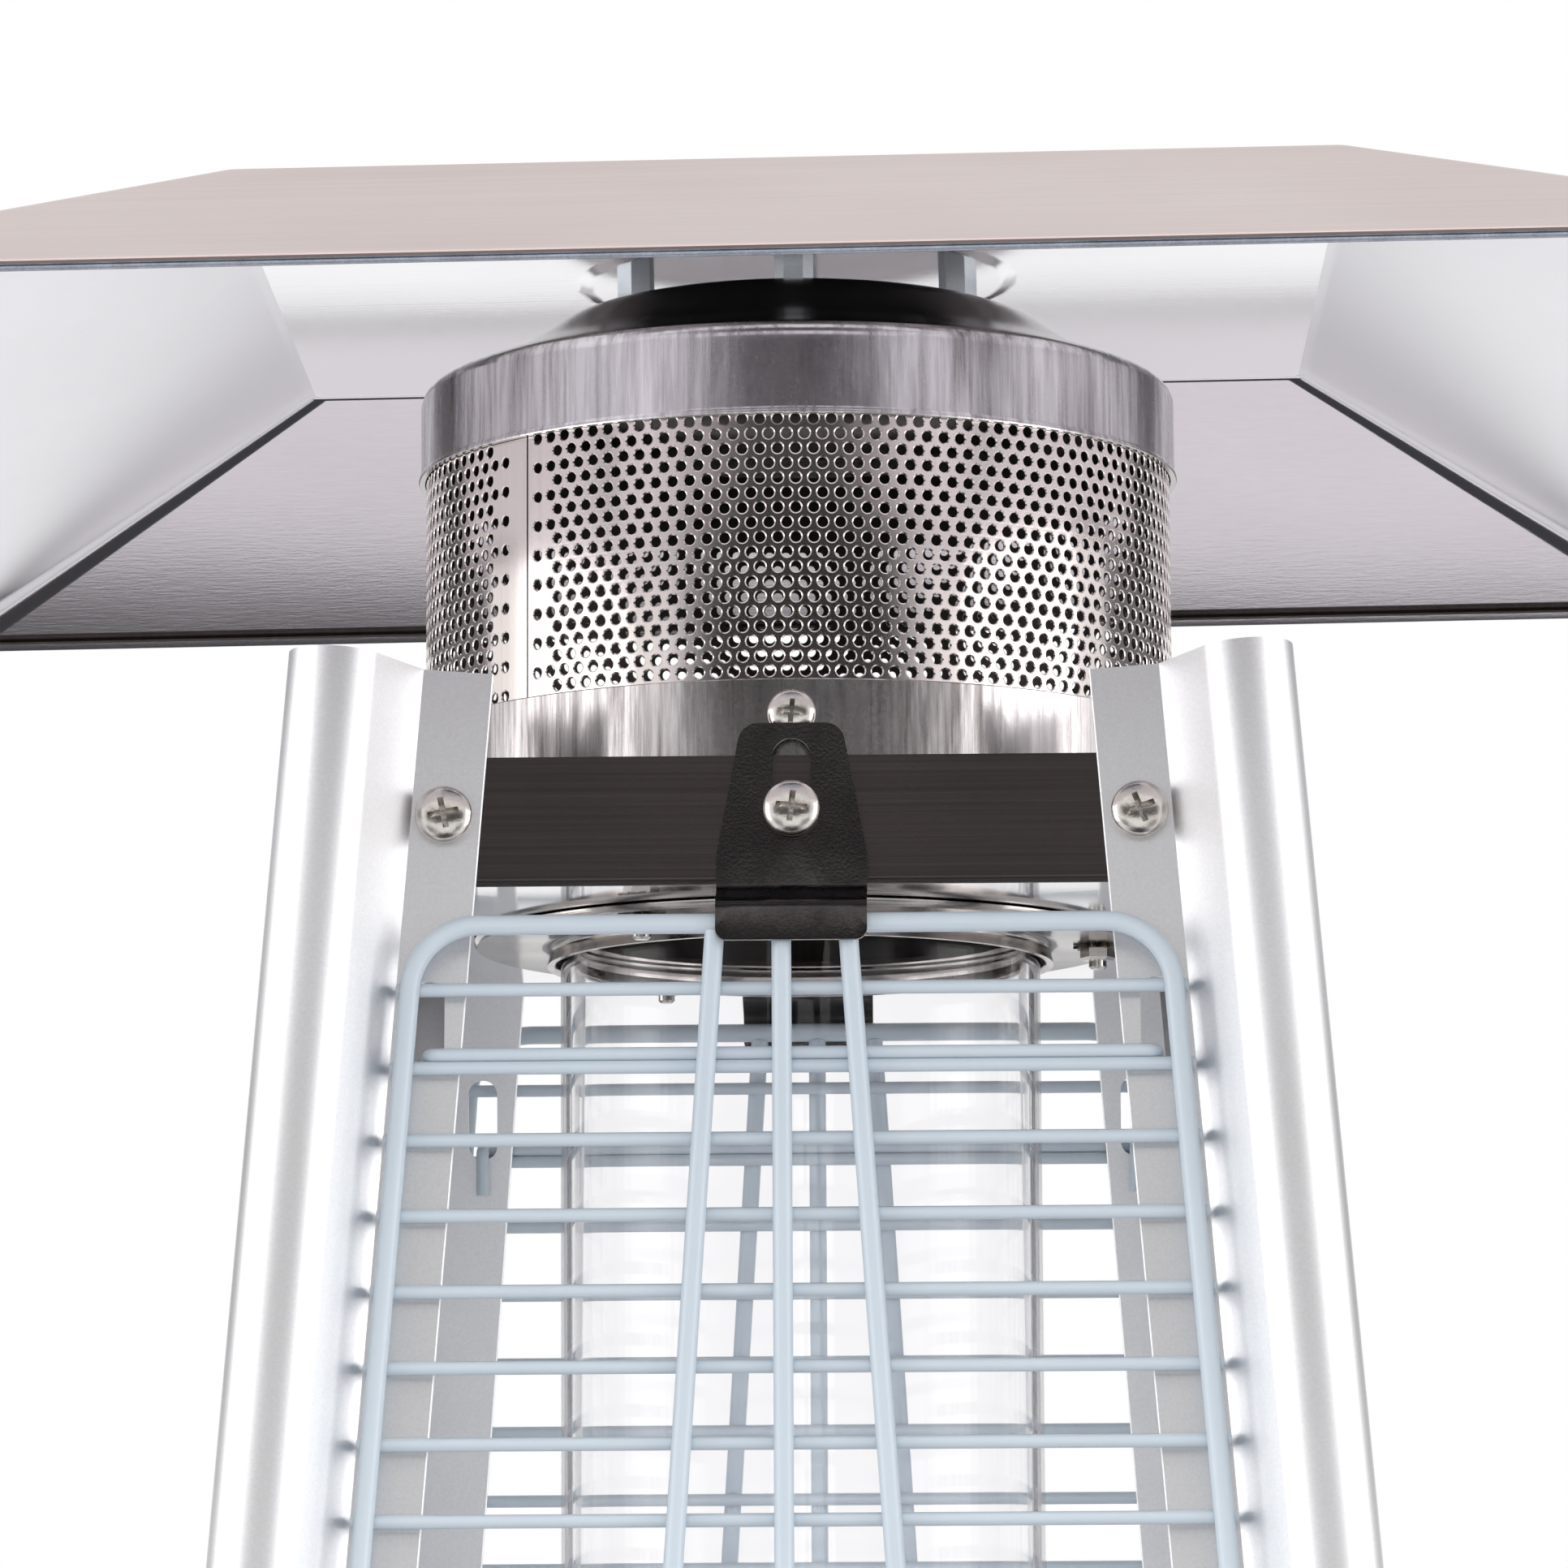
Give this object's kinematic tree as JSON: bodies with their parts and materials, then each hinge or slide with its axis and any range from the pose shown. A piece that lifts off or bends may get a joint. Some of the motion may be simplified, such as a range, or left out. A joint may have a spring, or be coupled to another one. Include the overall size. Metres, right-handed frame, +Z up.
{
  "type": "pyramid patio heater",
  "caption": "Free-standing gas patio heater: four leaning corner posts, clear flame tube behind wire guards, perforated flame screen, round cap and square hood on a burner cabinet.",
  "frame": {"origin": "on the floor, at the middle of the base", "axes": "+Z up, front with the control panel and the door towards -Y, +X to the right seen from the front"},
  "size_m": [0.54, 0.532, 2.2734],
  "materials": {
    "post_steel": "satin stainless",
    "hood_steel": "brushed stainless",
    "panel_steel": "brushed stainless",
    "dark_steel": "heat-tinted stainless",
    "wire_paint": "satin powder coat",
    "tube_glass": "clear",
    "zinc": "bright zinc plate",
    "brass": "turned",
    "black_plastic": "fine grain",
    "black_rubber": "moulded"
  },
  "bodies": {
    "heater": {"post_back_right": "post_steel", "post_back_left": "post_steel", "post_front_left": "post_steel", "post_front_right": "post_steel", "guard_front": "wire_paint", "guard_right": "wire_paint", "guard_back": "wire_paint", "guard_left": "wire_paint", "clip_screw_front": "zinc", "clip_screw_right": "zinc", "clip_screw_back": "zinc", "clip_screw_left": "zinc", "panel_right": "panel_steel", "panel_back": "panel_steel", "panel_left": "panel_steel", "control_panel": "panel_steel", "gas_valve": "brass", "igniter_housing": "black_plastic", "door_hinge_lower": "zinc", "door_hinge_upper": "zinc", "top_tray": "dark_steel", "burner_shelf": "panel_steel", "collar": "panel_steel", "flame_screen": "panel_steel", "collar_screw_front": "zinc", "collar_screw_back": "zinc", "cap": "panel_steel", "hood": "hood_steel", "standoff_right": "zinc", "standoff_back": "zinc", "standoff_left": "zinc", "standoff_front": "zinc", "hood_screw_right": "zinc", "hood_screw_back": "zinc", "hood_screw_left": "zinc", "hood_screw_front": "zinc", "glass_tube": "tube_glass", "tube_top_ring": "panel_steel", "tube_seat": "zinc", "burner_head": "dark_steel", "mixing_tube": "brass", "burner_pipe": "brass", "pilot_bracket": "zinc", "base": "post_steel", "foot_left": "black_rubber", "foot_right": "black_rubber", "wheel_axle": "zinc"},
    "door": {"front_door": "panel_steel", "door_handle": "black_plastic"},
    "spindle": {"valve_spindle": "brass"},
    "knob": {"control_knob": "black_plastic"},
    "button": {"igniter_button": "black_plastic"},
    "clip_front": {"guard_clip_front": "dark_steel"},
    "clip_right": {"guard_clip_right": "dark_steel"},
    "clip_back": {"guard_clip_back": "dark_steel"},
    "clip_left": {"guard_clip_left": "dark_steel"},
    "wheel_l": {"wheel_left": "black_rubber"},
    "wheel_r": {"wheel_right": "black_rubber"}
  },
  "joints": [
    {"name": "door_hinge", "type": "hinge", "parent": "heater", "child": "door", "pos_m": [-0.2041, -0.22238, 0.45451], "axis": [-0.0769, -0.0769, -0.9941], "range_deg": [0, 110]},
    {"name": "spindle_press", "type": "slide", "parent": "heater", "child": "spindle", "axis": [0, 0.997, -0.0772], "range_m": [0, 0.003], "stiffness_N_per_m": 600, "springref_m": -0.002},
    {"name": "knob_turn", "type": "hinge", "parent": "spindle", "child": "knob", "pos_m": [0, -0.1887, 0.821], "axis": [0, -0.997, 0.0772], "range_deg": [0, 210]},
    {"name": "igniter_press", "type": "slide", "parent": "heater", "child": "button", "axis": [0, 0.997, -0.0772], "range_m": [0, 0.005], "stiffness_N_per_m": 400, "springref_m": -0.002},
    {"name": "clip_front_slide", "type": "slide", "parent": "heater", "child": "clip_front", "axis": [0, 0.0772, 0.997], "range_m": [-0.0015, 0.0022]},
    {"name": "clip_right_slide", "type": "slide", "parent": "heater", "child": "clip_right", "axis": [-0.0772, 0, 0.997], "range_m": [-0.0015, 0.0022]},
    {"name": "clip_back_slide", "type": "slide", "parent": "heater", "child": "clip_back", "axis": [0, -0.0772, 0.997], "range_m": [-0.0015, 0.0022]},
    {"name": "clip_left_slide", "type": "slide", "parent": "heater", "child": "clip_left", "axis": [0.0772, 0, 0.997], "range_m": [-0.0015, 0.0022]},
    {"name": "wheel_left_spin", "type": "hinge", "parent": "heater", "child": "wheel_l", "pos_m": [-0.232, 0.231, 0.035], "axis": [1, 0, 0], "continuous": true},
    {"name": "wheel_right_spin", "type": "hinge", "parent": "heater", "child": "wheel_r", "pos_m": [0.232, 0.231, 0.035], "axis": [1, 0, 0], "continuous": true}
  ]
}
